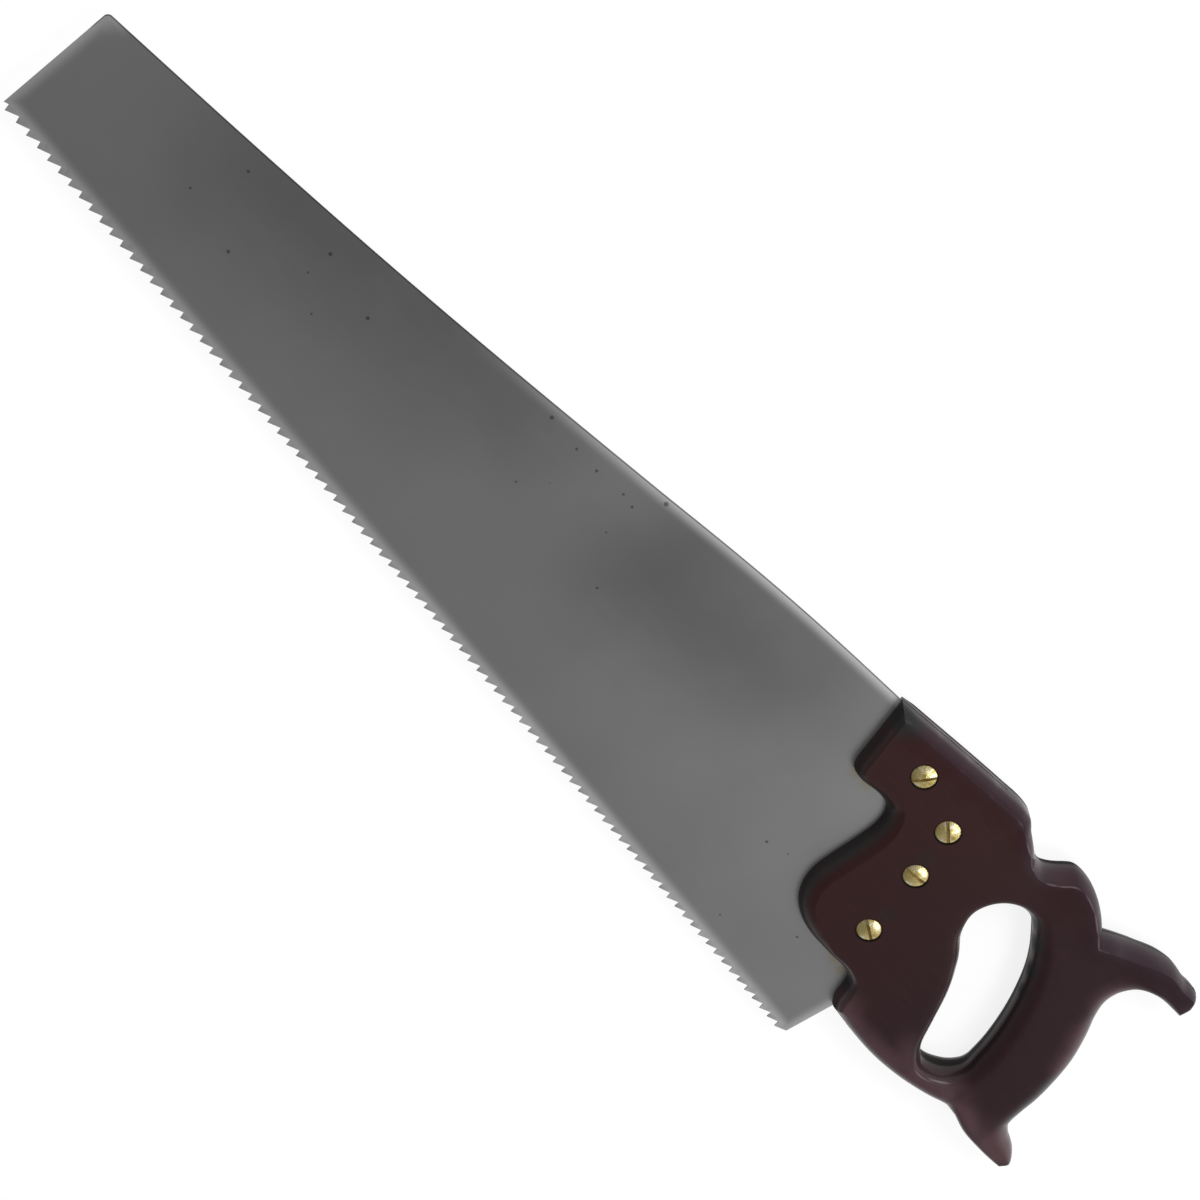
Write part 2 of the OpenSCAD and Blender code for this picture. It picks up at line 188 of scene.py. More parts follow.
bolt = {
    "places": [(33.5, -12), (63.5, -19), (74.5, -44), (87, -78.5)],  # from the handle's corner
    "head": 11.9, "headThick": 1.8, "dome": 0.68, "boltDome": 0.4,
    "rimSink": 0.2, "boltSink": 0.1, "rimDrop": 0.25,  # how deep the heads and the nuts' rims lie
    "slotTurns": [62, -32, 14, -22], "slotAside": [-1.1, 0, 0, 0], "slotWide": 1.5, "slotDeep": 1.25,
    "sleeve": 7.2, "sleeveLong": 6.5, "bore": 4.9,
    "shank": 4.8, "neck": 6.2, "neckLong": 4, "endGap": 0.5, "endBevel": (0.35, 0.4),
    "room": 0.15,  # air round each piece in its hole
    "soft": 0.12, "rimSoft": 0.2, "rimMiddle": 0.06, "boreSoft": 0.3,  # rounding of the edges
    "slotSoft": 0.15, "slotFlare": 0.3, "slotLip": 0.1,
    "points": 96, "nutRings": 12, "boltRings": 10, "sharpFrom": 28,
}


# the blade

plate = {
    "length": 559, "toeWidth": 62.5, "heelWidth": 151, "thick": 0.9,
    "toeLean": 2.5, "toeRound": 2.5,
    "backDip": 2.8, "backSwell": 1.8, "backTurn": 0.68,  # hollow and swell of the back
    "butt": [(119, -102), (93, -10), (65, -1)],  # hidden end, from the handle's corner
    "pitch": 6.4, "toothDepth": 3.1, "rake": 12, "firstGullet": 2.1,
    "setOut": 0.25, "setDepth": 1.6,  # tooth tips bent to each side in turn
    "filing": 0.1,  # gullets are filed a little askew
    "ease": 0.1, "toothEase": 0.03, "cornerReach": 3,  # rounding of the edges
    "bandSteps": [1, 2.5, 4.5, 7, 10],  # lines along the edge that carry its distance
    "bandReach": 12, "heelBand": 50,  # how far that distance counts, and where it starts at the heel
    "backPoints": 90, "bandPoints": 130, "endPoints": 9, "holePoints": 40, "sharpFrom": 22,
}


def backLine(x):
    s = (x - plate["toeLean"]) / (handleAt[0] - plate["toeLean"])
    turn = plate["backTurn"]
    bend = np.where(
        s < turn,
        -plate["backDip"] * np.sin(math.pi * s / turn),
        plate["backSwell"] * np.sin(math.pi * (s - turn) / (1 - turn)),
    )
    return plate["toeWidth"] + (plate["heelWidth"] - plate["toeWidth"]) * s + np.where(s > 1, 0, bend)


# Points of the toothed edge as x, y, sideways set, filing and ease, and the lines the tips bend at
def toothRows(p):
    depth, pitch, ease = p["toothDepth"], p["pitch"], p["toothEase"]
    faceRun = depth * math.tan(math.radians(p["rake"]))
    backRun = pitch - faceRun
    bentShare = 1 - p["setDepth"] / depth
    count = int((p["length"] - p["firstGullet"]) / pitch)
    rows, folds = [[0, depth * (1 - p["firstGullet"] / backRun), 0, 0, p["ease"]]], []
    for k in range(count):
        x, side = p["firstGullet"] + k * pitch, (1 if k % 2 == 0 else -1)
        rows.append([x, depth, 0, side * p["filing"], ease])
        folds.append((len(rows), len(rows) + 2))
        rows.append([x + faceRun * bentShare, p["setDepth"], 0, 0, ease])
        rows.append([x + faceRun, 0, side * p["setOut"], 0, ease])
        rows.append([x + pitch - backRun * bentShare, p["setDepth"], 0, 0, ease])
    rows.append([p["firstGullet"] + count * pitch, depth, 0, 0, ease])
    return rows, folds


def makePlate():
    p, depth, radius = plate, plate["toothDepth"], plate["toeRound"]
    rows, folds = toothRows(p)
    butt = np.array(p["butt"], float) + handleAt
    butt[2, 1] = backLine(butt[2, 0])
    backX = np.linspace(handleAt[0], p["toeLean"] + radius, p["backPoints"])
    back = np.column_stack([backX, backLine(backX)])
    turns = np.radians(np.arange(105, 181, 7.5))  # from the back round to the toe
    corner = back[-1] - [0, radius] + radius * np.column_stack([np.cos(turns), np.sin(turns)])
    rest = np.concatenate([[[p["length"], depth]], butt, back[:-1], corner])
    rows = np.concatenate([rows, np.column_stack([rest, 0 * rest, np.full(len(rest), p["ease"])])])
    outer = rows[:, :2]
    inset = outer + inwardOf(outer, p["cornerReach"]) * rows[:, 4:5]
    setAt = rows[:, 2] * np.clip((p["setDepth"] - inset[:, 1]) / p["setDepth"], 0, 1)
    holeRadius = bolt["shank"] / 2 + bolt["room"]
    holes = [circle(handleAt + spot, holeRadius, p["holePoints"]) for spot in bolt["places"]]
    # Points along the edge carry the distance to it for the worn band
    heel = [[p["length"], p["heelBand"]], [p["length"], depth], [0, depth]]
    edgeLine = np.concatenate([heel, corner[::-1], back[::-1]])
    free = []
    for d in p["bandSteps"]:
        along = np.linspace(0, 1, p["bandPoints"])
        lowX = d + along * (p["length"] - 2 * d)
        topX = p["toeLean"] + 2 * d + along * (handleAt[0] - p["toeLean"] - 2 * d)
        sideY = np.linspace(depth + 2 * d, backLine(d) - 2 * d, p["endPoints"])
        free += [
            np.column_stack([lowX, 0 * lowX + depth + d]),
            np.column_stack([topX, backLine(topX) - d]),
            np.column_stack([d + p["toeLean"] * sideY / p["toeWidth"], sideY]),
            np.column_stack([0 * sideY + p["length"] - d, sideY]),
        ]
    free = np.concatenate(free)
    tris = fillLoops([inset, *holes], free, folds)
    flat = np.concatenate([inset, *holes, free])
    level = np.concatenate([setAt, np.zeros(len(flat) - len(setAt))])
    half, n, m = p["thick"] / 2, len(outer), len(flat)
    skew = np.zeros((m, 2))
    skew[:n, 0] = rows[:, 3]
    points = np.concatenate([
        np.column_stack([flat + skew, half + level]),
        np.column_stack([outer + skew[:n], half - rows[:, 4] + rows[:, 2]]),
        np.column_stack([outer - skew[:n], rows[:, 4] - half + rows[:, 2]]),
        np.column_stack([flat - skew, level - half]),
    ])
    under = m + 2 * n
    faces = tris + [[under + i for i in t[::-1]] for t in tris]
    faces += bridge(m, 0, n) + bridge(m + n, m, n) + bridge(under, m + n, n)
    start = n
    for hole in holes:
        faces += [f[::-1] for f in bridge(start, under + start, len(hole))]
        start += len(hole)
    piece = meshPiece("blade", points + [*toeStart, midLevel], faces)
    markDistance(piece, "edgeDistance", [edgeLine + toeStart], p["bandReach"])
    shadeSmooth(piece, p["sharpFrom"])
    return piece


blade = makePlate()
print("blade:", len(blade.data.polygons), "faces")


# the wooden handle

handle = {
    "thick": 22, "flatBand": 1.2,  # flatBand is what the deepest roundings leave of the side
    "kerf": 1.0, "kerfRoom": 0.4, "kerfFar": (-90, -250, 150),  # the saw cut runs out of the wood here
    "coarse": 5, "fine": 1.5, "rings": 11,  # steps along the curves, and rings over each rounding
    "cornerReach": 1.67, "cornerClear": 1.25,
    "creaseBelow": 86,  # roundings that turn by less than this end in a crease
    "tips": [(210, 21), (242, -101)], "tipTaper": 2.0, "taperLong": 38,  # the horns thin to their tips
    "wave": 0.05, "waveLong": (21, 17, 29), "waveStart": (1.3, 0.4),  # hand-worked unevenness
    "gridStep": 5, "gridClear": 2,  # points on the flat faces
    "edgeReach": 20, "ridgeReach": 5, "sharpFrom": 65,
}

# Each edge of the wood: width and depth of its rounding, and the angle it curves through
fullDepth = (handle["thick"] - handle["flatBand"]) / 2
handleEdges = {
    "top": (5.0, 6.5, 90), "nose": (4.5, fullDepth, 65), "front": (8, fullDepth, 75),
    "under": (7.5, 9.5, 90), "hole": (4.5, 9.5, 90), "grip": (10, fullDepth, 90),
    "crest": (3.5, fullDepth, 55), "horn": (2.5, 4.5, 90), "tip": (2.5, fullDepth, 55),
}
# The outline from the top front corner, anticlockwise: x, y, edge, and * for a corner
handleOutline = """
0 -0.5 nose*, 10.6 -28.7 nose, 12.4 -33.5 nose, 15.2 -37.3 nose, 19.5 -38 nose, 29 -35.8 nose, 35 -35.1 nose,
40 -36.4 front, 43.4 -40.2 front, 45.6 -46 front, 47 -57 front, 47.8 -72 front, 49.2 -84 front,
52.5 -92 front, 58.5 -99 front, 67 -103.4 front, 76 -104.9 front, 89 -103.9 nose, 103 -103 nose,
107.5 -104.6 nose, 110 -108.4 nose, 114.5 -117.5 nose, 117 -120 nose*, 130 -120.5 under,
150 -120 under, 170.5 -116 under, 185 -111 under, 195 -106.5 under, 201 -105 horn*,
211 -107 horn, 223 -107 horn, 235 -106 horn, 240.5 -105 horn*, 242.5 -99.5 horn, 239 -95 hole,
230 -91.5 under, 224 -87.5 grip, 220.5 -79 grip, 217.5 -67 grip, 212.5 -53 grip, 207 -41 grip,
197.5 -26.5 grip, 189.5 -16 grip, 186 -9 grip, 185.5 -2 grip, 188 4.5 grip, 193 10 hole,
201.5 12.5 hole, 210 14.5 horn*, 210 21 horn, 207.5 26.5 tip, 198 26 tip, 188 26 tip,
179.5 23 tip, 171 18.5 crest, 163 13.5 crest, 155 7 tip*, 147 12 crest, 136 16.5 crest,
125 18 crest, 117.5 16.5 nose, 113 11 nose, 107 5 crest, 101.5 4.5 tip*, 96.5 7 tip,
88 11 crest, 81 14.5 top, 74 14.5 top, 64 12.7 top, 8 1.15 top
"""
handHole = """
127 -14 under, 137.5 -20 grip, 149 -29.5 grip, 161 -44 grip, 171 -60 grip, 179 -77.5 grip,
182 -88 under, 177 -97.5 hole, 167 -101.5 hole, 161 -98 hole, 150 -83.5 hole, 140 -68.5 hole,
126.5 -53.5 hole, 114.5 -43.5 hole, 109 -33 hole, 111 -21.5 hole, 118 -14.5 hole
"""


def readLoop(text):
    rows, corners = [], []
    for entry in text.replace("\n", " ").split(","):
        x, y, edge = entry.split()
        corners.append(edge.endswith("*"))
        rows.append([float(x), float(y), *handleEdges[edge.rstrip("*")]])
    return np.array(rows), corners


# Closed curve through rows of values: the first ones bend smoothly, the others change evenly
def curveThrough(rows, corners, step, bent, clear=None):
    count, made, marks = len(rows), [], []
    for i in range(count):
        after = (i + 1) % count
        a, b, c, d = (rows[(i + k) % count] for k in (-1, 0, 1, 2))
        ab, bc, cd = (np.linalg.norm(q[:2] - p[:2]) for p, q in ((a, b), (b, c), (c, d)))
        ahead = (c - b) / bc
        start = ahead if corners[i] else ((b - a) / ab * bc + ahead * ab) / (ab + bc)
        end = ahead if corners[after] else (ahead * cd + (d - c) / cd * bc) / (bc + cd)
        steps = max(1, math.ceil(bc / step))
        for j in range(steps):
            t = j / steps
            if clear is not None and j and (t * bc < clear[i] or (1 - t) * bc < clear[after]):
                continue
            row = (2 * t**3 - 3 * t**2 + 1) * b + (t**3 - 2 * t**2 + t) * start * bc
            row += (3 * t**2 - 2 * t**3) * c + (t**3 - t**2) * end * bc
            row[bent:] = (1 - t) * b[bent:] + t * c[bent:]
            made.append(row)
            marks.append(corners[i] and j == 0)
    return np.array(made), marks


# Rows of x, y, inner x, inner y, depth and angle along one edge of the wood
def woodLoop(text):
    rows, corners = readLoop(text)
    clear = rows[:, 2] * handle["cornerClear"] * corners
    rough, marks = curveThrough(rows, corners, handle["coarse"], 2, clear)
    inner = rough[:, :2] + inwardOf(rough[:, :2], handle["cornerReach"]) * rough[:, 2:3]
    both = np.column_stack([rough[:, :2], inner, rough[:, 3:]])
    return curveThrough(both, marks, handle["fine"], 4)


# Half of the wood's thickness at each place
def halfThick(spots):
    h, taper = handle, np.zeros(len(spots))
    for tip in h["tips"]:
        near = 1 - np.linalg.norm(spots - np.array(tip), axis=1) / h["taperLong"]
        taper = np.maximum(taper, h["tipTaper"] * smoothStep(near))
    x, y = spots[:, 0], spots[:, 1]
    (alongX, alongY, askew), (startX, startY) = h["waveLong"], h["waveStart"]
    wave = 1 + np.sin(x / alongX + startX) * np.cos(y / alongY + startY) * np.cos((x + y) / askew)
    return h["thick"] / 2 - taper - h["wave"] * wave


def makeHandle():
    h = handle
    points, faces, crease, loops, edges, ridges = [], [], [], [], [], []
    rings = [(-1, k) for k in range(h["rings"], -1, -1)] + [(1, k) for k in range(h["rings"] + 1)]
    for text in (handleOutline, handHole):
        rows, corners = woodLoop(text)
        edges.append(np.concatenate([rows[:, :2], rows[:1, :2]]) + handleStart)
        count, start = len(rows), len(points)
        outer, inner, depth, turn = rows[:, :2], rows[:, 2:4], rows[:, 4], np.radians(rows[:, 5])
        for side, k in rings:
            share = k / h["rings"]
            inward = (1 - np.cos(turn * share)) / (1 - np.cos(turn))
            spots = outer + (inner - outer) * inward[:, None]
            level = halfThick(spots) - depth * (1 - np.sin(turn * share) / np.sin(turn))
            points += np.column_stack([spots, side * level]).tolist()
        for r in range(len(rings) - 1):
            faces += bridge(start + r * count, start + (r + 1) * count, count)
        top = start + (len(rings) - 1) * count
        creased = [i for i in range(count) if rows[i, 5] < h["creaseBelow"]]
        for base in (start, top):
            crease += [(base + i, base + (i + 1) % count) for i in creased]
        ridges += [inner[[i, (i + 1) % count]] + handleStart for i in creased]
        for i in range(1, count):  # the corner at the top front stays soft
            if corners[i]:
                crease += [(start + r * count + i, start + (r + 1) * count + i) for r in range(len(rings) - 1)]
        loops.append((inner, start, top))
    low, high = loops[0][0].min(0), loops[0][0].max(0)
    lines = [np.arange(low[i], high[i], h["gridStep"]) for i in (0, 1)]
    grid = np.stack(np.meshgrid(*lines), -1).reshape(-1, 2)
    grid = grid[isInside(grid, loops[0][0]) & ~isInside(grid, loops[1][0])]
    for inner, _, _ in loops:
        grid = grid[distanceTo(grid, np.concatenate([inner, inner[:1]])) > h["gridClear"]]
    tris = fillLoops([inner for inner, _, _ in loops], grid)
    for side, base in ((-1, 1), (1, 2)):
        where = [loop[base] + i for loop in loops for i in range(len(loop[0]))]
        where += [len(points) + i for i in range(len(grid))]
        points += np.column_stack([grid, side * halfThick(grid)]).tolist()
        faces += [[where[i] for i in t[::side]] for t in tris]
    low, high = (np.array(corner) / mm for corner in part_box("handle"))
    points = np.clip(np.array(points) + [*handleStart, midLevel], low, high)
    piece = meshPiece("handle_wood", points, faces)
    creases = {tuple(sorted(e)) for e in crease}
    sharp = [tuple(sorted(e.vertices)) in creases for e in piece.data.edges]
    piece.data.attributes.new("sharp_edge", "BOOLEAN", "EDGE").data.foreach_set("value", sharp)
    return piece, edges, ridges


# Upright body of given loops stacked at given levels, for cutting
def stack(name, loops, levels):
    count = len(loops[0])
    points = [np.column_stack([loop, np.full(count, z)]) for loop, z in zip(loops, levels)]
    points = np.concatenate(points)
    faces = [list(range(count))[::-1], [len(points) - count + i for i in range(count)]]
    for r in range(len(loops) - 1):
        faces += bridge(r * count, (r + 1) * count, count)
    return meshPiece(name, points + [*handleStart, midLevel], faces)


nutSeat = handle["thick"] / 2 - bolt["rimSink"] - bolt["headThick"]
boltSeat = bolt["boltSink"] + bolt["headThick"] - handle["thick"] / 2


def handleCutters():
    h, b, far = handle, bolt, handle["thick"]
    end = np.array(plate["butt"], float) + h["kerfRoom"]
    front, low, high = h["kerfFar"]
    kerf = np.array([[front, low], [end[0][0], low], *end.tolist(), [end[2][0], high], [front, high]])
    cutters = [stack("kerf", [kerf, kerf], [-h["kerf"] / 2, h["kerf"] / 2])]
    neckTop = boltSeat + b["neckLong"] + b["room"]
    sleeveLow = nutSeat - b["sleeveLong"] - b["room"]
    for i, spot in enumerate(b["places"]):
        head, sleeve, shank = (
            circle(spot, b[part] / 2 + b["room"], b["points"]) for part in ("head", "sleeve", "shank")
        )
        neck = squareLoop(spot, b["neck"] + 2 * b["room"], b["points"])
        cutters.append(stack(
            f"hole{i}",
            [head, head, neck, neck, shank, shank, sleeve, sleeve, head, head],
            [-far, boltSeat, boltSeat, neckTop, neckTop, sleeveLow, sleeveLow, nutSeat, nutSeat, far],
        ))
    return cutters


handleWood, outerLines, ridgeLines = makeHandle()
cutWith(handleWood, handleCutters())
markDistance(handleWood, "edgeDistance", outerLines, handle["edgeReach"])
markDistance(handleWood, "ridgeDistance", ridgeLines, handle["ridgeReach"])
shadeSmooth(handleWood, handle["sharpFrom"])
print("handle:", len(handleWood.data.polygons), "faces")


# the brass nuts and bolts: shapes

# Closed body of rings: radius, level and 1 for a square one, from the middle of one end to the other's
def turnedPiece(name, spot, profile):
    count = bolt["points"]
    points, faces = [[0, 0, profile[0][1]]], []
    for r, z, square in profile[1:-1]:
        ring = squareLoop((0, 0), 2 * r, count) if square else circle((0, 0), r, count)
        points += np.column_stack([ring, np.full(count, z)]).tolist()
    points.append([0, 0, profile[-1][1]])
    rings = len(profile) - 2
    faces += [[0, 1 + (i + 1) % count, 1 + i] for i in range(count)]
    for r in range(rings - 1):
        faces += bridge(1 + r * count, 1 + (r + 1) * count, count)
    last, low = len(points) - 1, 1 + (rings - 1) * count
    faces += [[last, low + i, low + (i + 1) % count] for i in range(count)]
    return meshPiece(name, np.array(points) + [*(handleStart + spot), midLevel], faces)


def domeProfile(radius, level, crown, steps):
    ball = (radius**2 + crown**2) / (2 * crown)
    turns = math.asin(radius / ball) * (1 - np.arange(steps + 1) / steps)
    return [[ball * math.sin(a), level + ball * math.cos(a) - (ball - crown), 0] for a in turns]


def makeNut(i):
    b, soft, ease, middle = bolt, bolt["soft"], bolt["rimSoft"], bolt["rimMiddle"]
    rim, sleeve, bore = b["head"] / 2, b["sleeve"] / 2, b["bore"] / 2
    low, top = nutSeat - b["sleeveLong"], nutSeat + b["headThick"] - b["rimDrop"]
    dome = b["dome"] + b["rimDrop"]
    profile = [
        [0, nutSeat, 0], [bore, nutSeat, 0], [bore, low + b["boreSoft"], 0], [bore + b["boreSoft"], low, 0],
        [sleeve - soft, low, 0], [sleeve, low + soft, 0], [sleeve, nutSeat, 0],
        [rim - soft, nutSeat, 0], [rim, nutSeat + soft, 0], [rim, top - ease, 0],
        [rim - middle, top - middle, 0], *domeProfile(rim - ease, top, dome, b["nutRings"]),
    ]
    nut = turnedPiece(f"nut_{i + 1}", b["places"][i], profile)
    # The slot is softer at its floor and opens a little at the top
    turn = math.radians(b["slotTurns"][i])
    along, across = np.array([math.cos(turn), math.sin(turn)]), np.array([-math.sin(turn), math.cos(turn)])
    wide, crown, floor = b["slotWide"] / 2, top + dome, top + dome - b["slotDeep"]
    loops = []
    for half in (wide - b["slotSoft"], wide, wide, wide + b["slotFlare"]):
        loops.append(np.array([
            b["places"][i] + s * b["head"] * along + (t * half + b["slotAside"][i]) * across
            for s, t in ((-1, -1), (1, -1), (1, 1), (-1, 1))
        ]))
    levels = [floor, floor + b["slotSoft"], crown - b["slotLip"], crown + b["slotFlare"]]
    cutWith(nut, [stack("slot", loops, levels)])
    shadeSmooth(nut, b["sharpFrom"])
    return nut


def makeBolt(i):
    b, soft, ease, middle = bolt, bolt["soft"], bolt["rimSoft"], bolt["rimMiddle"]
    rim, shank, neck = b["head"] / 2, b["shank"] / 2, b["neck"] / 2
    level, neckTop = boltSeat - b["headThick"] + b["boltDome"], boltSeat + b["neckLong"]
    end, (bevelIn, bevelUp) = nutSeat - b["endGap"], b["endBevel"]
    dome = domeProfile(rim - ease, 0, b["boltDome"], b["boltRings"])[::-1]
    profile = [[r, level - z, 0] for r, z, _ in dome]
    profile += [
        [rim - middle, level + middle, 0], [rim, level + ease, 0], [rim, boltSeat - soft, 0],
        [rim - soft, boltSeat, 0], [neck, boltSeat, 1], [neck, neckTop - soft, 1],
        [neck - soft, neckTop, 1], [shank, neckTop, 0],
        [shank, end - bevelUp, 0], [shank - bevelIn, end, 0], [0, end, 0],
    ]
    made = turnedPiece(f"bolt_{i + 1}", b["places"][i], profile)
    shadeSmooth(made, b["sharpFrom"])
    return made


nuts = [makeNut(i) for i in range(len(bolt["places"]))]
bolts = [makeBolt(i) for i in range(len(bolt["places"]))]
print("nuts and bolts:", len(nuts) + len(bolts))


# small helpers for materials

def put(tree, kind, inputs=None, **settings):
    made = tree.nodes.new(kind)
    for name, value in settings.items():
        setattr(made, name, value)
    for name, value in (inputs or {}).items():
        if isinstance(value, bpy.types.NodeSocket):
            tree.links.new(value, made.inputs[name])
        else:
            made.inputs[name].default_value = value
    return made


def maths(tree, operation, *values):
    return put(tree, "ShaderNodeMath", dict(enumerate(values)), operation=operation).outputs[0]


# Works through any number of values two at a time
def fold(tree, operation, values):
    made = values[0]
    for value in values[1:]:
        made = maths(tree, operation, made, value)
    return made


def times(tree, *values):
    return fold(tree, "MULTIPLY", values)


def greatest(tree, *values):
    return fold(tree, "MAXIMUM", values)


def oneMinus(tree, value):
    return maths(tree, "SUBTRACT", 1.0, value)


def vectors(tree, operation, *values):
    made = put(tree, "ShaderNodeVectorMath", dict(enumerate(values)), operation=operation)
    return made.outputs["Value" if operation in ("DOT_PRODUCT", "DISTANCE") else "Vector"]


def axes(tree, vector):
    return put(tree, "ShaderNodeSeparateXYZ", {0: vector}).outputs


def attribute(tree, name):
    return put(tree, "ShaderNodeAttribute", attribute_name=name).outputs["Fac"]


def spread(tree, value, low, high, toLow=0.0, toHigh=1.0):
    return put(
        tree, "ShaderNodeMapRange", {0: value, 1: low, 2: high, 3: toLow, 4: toHigh},
        interpolation_type="SMOOTHSTEP",
    ).outputs[0]


# Soft step round a middle value, as wide on each side as given
def threshold(tree, value, middle, width):
    low, high = (maths(tree, operation, middle, width) for operation in ("SUBTRACT", "ADD"))
    return spread(tree, value, low, high)


def noise(tree, vector, scale, detail, roughness):
    return put(
        tree, "ShaderNodeTexNoise",
        {"Vector": vector, "Scale": scale, "Detail": detail, "Roughness": roughness},
    ).outputs[0]


def mixed(tree, share, a, b):
    return put(tree, "ShaderNodeMix", {0: share, 6: a, 7: b}, data_type="RGBA").outputs[2]


# Lays colours over a first one, each with its mask and strength, in the order of the list
def layered(tree, colour, masks, tints, layers):
    for mask, tint, strength in layers:
        colour = mixed(tree, times(tree, masks[mask], strength), colour, tints[tint])
    return colour


# Masks from lists of what is measured, where it starts and is full, and values other than 0 and 1
def zonesOf(tree, measured, zones):
    return {
        name: times(tree, *[spread(tree, measured[what], *ends) for what, *ends in steps])
        for name, steps in zones.items()
    }


def newGroup(name, output, **inputs):
    tree = bpy.data.node_groups.new(name, "ShaderNodeTree")
    for label, value in inputs.items():
        kind = "NodeSocketFloat" if isinstance(value, float) else "NodeSocketVector"
        tree.interface.new_socket(label, in_out="INPUT", socket_type=kind).default_value = value
    tree.interface.new_socket(output, in_out="OUTPUT", socket_type="NodeSocketFloat")
    return tree, tree.nodes.new("NodeGroupInput").outputs, tree.nodes.new("NodeGroupOutput").inputs[output]


def useGroup(tree, group, **inputs):
    return put(tree, "ShaderNodeGroup", inputs, node_tree=group).outputs[0]


# effects that several materials share

# Fine lines along one direction, as polishing, turning or grain leaves them
def makeLines():
    tree, given, lines = newGroup(
        "fineLines", "Lines", Vector=(0, 0, 0), Stretch=(1, 1, 1), Scale=1.0, Contrast=0.5)
    drawn = vectors(tree, "MULTIPLY", given["Vector"], given["Stretch"])
    fine = noise(tree, drawn, given["Scale"], 4.0, 0.6)
    tree.links.new(threshold(tree, fine, 0.5, given["Contrast"]), lines)
    return tree


# Soft blotches of tarnish, dirt or thicker varnish
def makeBlotches():
    tree, given, mask = newGroup(
        "blotches", "Mask", Vector=(0, 0, 0), Scale=1.0, Share=0.5, Softness=0.15)
    cloud = noise(tree, given["Vector"], given["Scale"], 5.0, 0.55)
    tree.links.new(threshold(tree, cloud, oneMinus(tree, given["Share"]), given["Softness"]), mask)
    return tree


# Small separate spots: pits, pores and dents
def makeSpots():
    tree, given, mask = newGroup("spots", "Mask", Vector=(0, 0, 0), Scale=1.0, Size=0.1, Share=0.3)
    cells = put(tree, "ShaderNodeTexVoronoi", {"Vector": given["Vector"], "Scale": given["Scale"]}).outputs
    shade = put(tree, "ShaderNodeSeparateColor", {0: cells["Color"]}).outputs
    size = times(tree, given["Size"], shade[1])
    dot = oneMinus(tree, spread(tree, cells["Distance"], times(tree, size, 0.5), size))
    chosen = maths(tree, "LESS_THAN", shade[0], given["Share"])
    tree.links.new(times(tree, dot, chosen), mask)
    return tree


# One soft round patch at a given place
def makePatch():
    tree, given, mask = newGroup(
        "patch", "Mask", Vector=(0, 0, 0), Centre=(0, 0, 0), Inner=1.0, Outer=2.0)
    away = vectors(tree, "DISTANCE", given["Vector"], given["Centre"])
    tree.links.new(spread(tree, away, given["Outer"], given["Inner"]), mask)
    return tree


fineLines, blotches, spots, patch = makeLines(), makeBlotches(), makeSpots(), makePatch()


# Patches as x and y from the handle's corner, inner and outer radius, all at one level
def marksAt(tree, at, places, level):
    marks = []
    for x, y, inner, outer in places:
        centre = (handleStart[0] + x, handleStart[1] + y, level)
        marks.append(useGroup(tree, patch, Vector=at, Centre=centre, Inner=inner, Outer=outer))
    return greatest(tree, *marks)


# materials

def emptyTree(owner):
    owner.use_nodes = True
    owner.node_tree.nodes.clear()
    return owner.node_tree


# Gives back the place in millimetres too
def startMaterial(name):
    material = bpy.data.materials.new(name)
    tree = emptyTree(material)
    shader = put(tree, "ShaderNodeBsdfPrincipled")
    put(tree, "ShaderNodeOutputMaterial", {0: shader.outputs[0]})
    coords = put(tree, "ShaderNodeTexCoord").outputs["Object"]
    return material, tree, shader, vectors(tree, "MULTIPLY", coords, (1 / mm,) * 3)


def bump(tree, shader, height, depth):
    made = put(tree, "ShaderNodeBump", {"Height": height, "Distance": depth * mm})
    tree.links.new(made.outputs[0], shader.inputs["Normal"])


